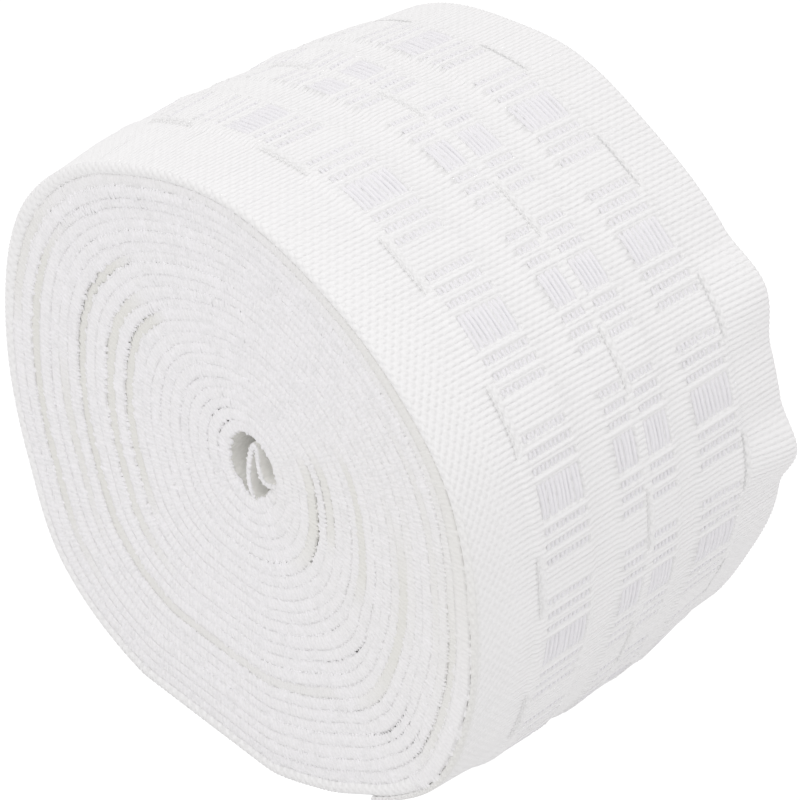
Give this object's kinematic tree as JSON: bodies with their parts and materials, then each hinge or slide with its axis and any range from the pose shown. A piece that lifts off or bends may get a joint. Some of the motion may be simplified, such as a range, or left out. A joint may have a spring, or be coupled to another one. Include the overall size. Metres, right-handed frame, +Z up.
{
  "type": "roll of curtain heading tape",
  "caption": "Coreless roll of white woven curtain heading tape with rows of hook pockets, lying on its curved side.",
  "frame": {"origin": "on the floor, below the middle of the roll", "axes": "+X along the roll's axis, across the tape; -Y the front; +Z up from the flat spot on which the roll rests"},
  "size_m": [0.075, 0.1251, 0.1188],
  "materials": {
    "tape": "matt white polyester weave, plain ribbed cloth with blocks of longer, slightly silkier threads"
  },
  "bodies": {
    "root": {"tape_roll": "tape"}
  },
  "joints": []
}
